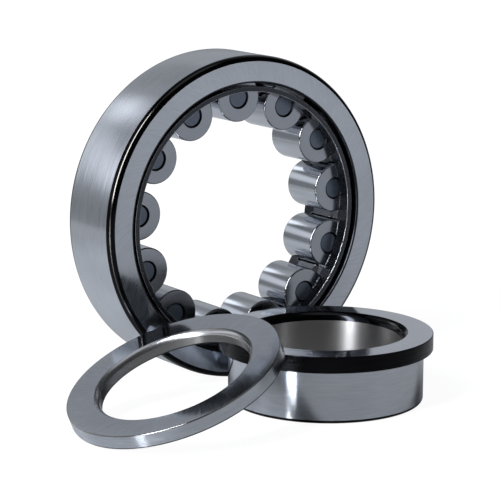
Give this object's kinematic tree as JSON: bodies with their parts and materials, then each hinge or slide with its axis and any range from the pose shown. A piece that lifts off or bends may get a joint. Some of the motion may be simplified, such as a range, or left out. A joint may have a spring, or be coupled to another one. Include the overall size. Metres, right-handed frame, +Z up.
{
  "type": "cylindrical roller bearing",
  "caption": "Cylindrical roller bearing laid out apart: two-flange outer ring with caged rollers, one-flange inner ring and loose flange ring.",
  "frame": {"origin": "on the floor, under the middle of the box of the whole layout", "axes": "+Z up; the outer ring's axis lies along Y with its open front side towards -Y, where the inner ring and the loose flange ring lie; +X towards the inner ring"},
  "size_m": [0.1295, 0.0906, 0.1],
  "materials": {
    "outer_ring_steel": "ground bearing steel, satin",
    "cage_steel": "pressed sheet steel, dark satin",
    "roller_steel": "lapped bearing steel, bright",
    "inner_ring_steel": "ground bearing steel, satin",
    "loose_ring_steel": "ground bearing steel, satin"
  },
  "bodies": {
    "outer_ring_body": {"outer_ring": "outer_ring_steel"},
    "cage_body": {"cage": "cage_steel"},
    "roller_01_body": {"roller_01": "roller_steel"},
    "roller_02_body": {"roller_02": "roller_steel"},
    "roller_03_body": {"roller_03": "roller_steel"},
    "roller_04_body": {"roller_04": "roller_steel"},
    "roller_05_body": {"roller_05": "roller_steel"},
    "roller_06_body": {"roller_06": "roller_steel"},
    "roller_07_body": {"roller_07": "roller_steel"},
    "roller_08_body": {"roller_08": "roller_steel"},
    "roller_09_body": {"roller_09": "roller_steel"},
    "roller_10_body": {"roller_10": "roller_steel"},
    "roller_11_body": {"roller_11": "roller_steel"},
    "roller_12_body": {"roller_12": "roller_steel"},
    "roller_13_body": {"roller_13": "roller_steel"},
    "inner_ring_body": {"inner_ring": "inner_ring_steel"},
    "loose_flange_ring_body": {"loose_flange_ring": "loose_ring_steel"}
  },
  "joints": [
    {"name": "cage_spin", "type": "hinge", "parent": "outer_ring_body", "child": "cage_body", "pos_m": [0.01479, 0.03277, 0.05], "axis": [0, 1, 0], "continuous": true},
    {"name": "roller_01_spin", "type": "hinge", "parent": "cage_body", "child": "roller_01_body", "pos_m": [0.01415, 0.03277, 0.08674], "axis": [0, 1, 0], "continuous": true},
    {"name": "roller_02_spin", "type": "hinge", "parent": "cage_body", "child": "roller_02_body", "pos_m": [0.0313, 0.03277, 0.08283], "axis": [0, 1, 0], "continuous": true},
    {"name": "roller_03_spin", "type": "hinge", "parent": "cage_body", "child": "roller_03_body", "pos_m": [0.04466, 0.03277, 0.0714], "axis": [0, 1, 0], "continuous": true},
    {"name": "roller_04_spin", "type": "hinge", "parent": "cage_body", "child": "roller_04_body", "pos_m": [0.05119, 0.03277, 0.05507], "axis": [0, 1, 0], "continuous": true},
    {"name": "roller_05_spin", "type": "hinge", "parent": "cage_body", "child": "roller_05_body", "pos_m": [0.04937, 0.03277, 0.03757], "axis": [0, 1, 0], "continuous": true},
    {"name": "roller_06_spin", "type": "hinge", "parent": "cage_body", "child": "roller_06_body", "pos_m": [0.03963, 0.03277, 0.02292], "axis": [0, 1, 0], "continuous": true},
    {"name": "roller_07_spin", "type": "hinge", "parent": "cage_body", "child": "roller_07_body", "pos_m": [0.0242, 0.03277, 0.01448], "axis": [0, 1, 0], "continuous": true},
    {"name": "roller_08_spin", "type": "hinge", "parent": "cage_body", "child": "roller_08_body", "pos_m": [0.00662, 0.03277, 0.01417], "axis": [0, 1, 0], "continuous": true},
    {"name": "roller_09_spin", "type": "hinge", "parent": "cage_body", "child": "roller_09_body", "pos_m": [-0.0091, 0.03277, 0.02207], "axis": [0, 1, 0], "continuous": true},
    {"name": "roller_10_spin", "type": "hinge", "parent": "cage_body", "child": "roller_10_body", "pos_m": [-0.01934, 0.03277, 0.03637], "axis": [0, 1, 0], "continuous": true},
    {"name": "roller_11_spin", "type": "hinge", "parent": "cage_body", "child": "roller_11_body", "pos_m": [-0.02177, 0.03277, 0.05379], "axis": [0, 1, 0], "continuous": true},
    {"name": "roller_12_spin", "type": "hinge", "parent": "cage_body", "child": "roller_12_body", "pos_m": [-0.01582, 0.03277, 0.07035], "axis": [0, 1, 0], "continuous": true},
    {"name": "roller_13_spin", "type": "hinge", "parent": "cage_body", "child": "roller_13_body", "pos_m": [-0.00286, 0.03277, 0.08224], "axis": [0, 1, 0], "continuous": true},
    {"name": "inner_ring_lift", "type": "slide", "parent": "outer_ring_body", "child": "inner_ring_body", "axis": [0, 0, 1], "range_m": [0, 0.105]},
    {"name": "loose_flange_ring_lift", "type": "slide", "parent": "inner_ring_body", "child": "loose_flange_ring_body", "axis": [0, 0, 1], "range_m": [0, 0.105]}
  ],
  "couplings": [
    {"joint": "roller_01_spin", "follows": "cage_spin", "ratio": -5.9},
    {"joint": "roller_02_spin", "follows": "cage_spin", "ratio": -5.9},
    {"joint": "roller_03_spin", "follows": "cage_spin", "ratio": -5.9},
    {"joint": "roller_04_spin", "follows": "cage_spin", "ratio": -5.9},
    {"joint": "roller_05_spin", "follows": "cage_spin", "ratio": -5.9},
    {"joint": "roller_06_spin", "follows": "cage_spin", "ratio": -5.9},
    {"joint": "roller_07_spin", "follows": "cage_spin", "ratio": -5.9},
    {"joint": "roller_08_spin", "follows": "cage_spin", "ratio": -5.9},
    {"joint": "roller_09_spin", "follows": "cage_spin", "ratio": -5.9},
    {"joint": "roller_10_spin", "follows": "cage_spin", "ratio": -5.9},
    {"joint": "roller_11_spin", "follows": "cage_spin", "ratio": -5.9},
    {"joint": "roller_12_spin", "follows": "cage_spin", "ratio": -5.9},
    {"joint": "roller_13_spin", "follows": "cage_spin", "ratio": -5.9}
  ]
}
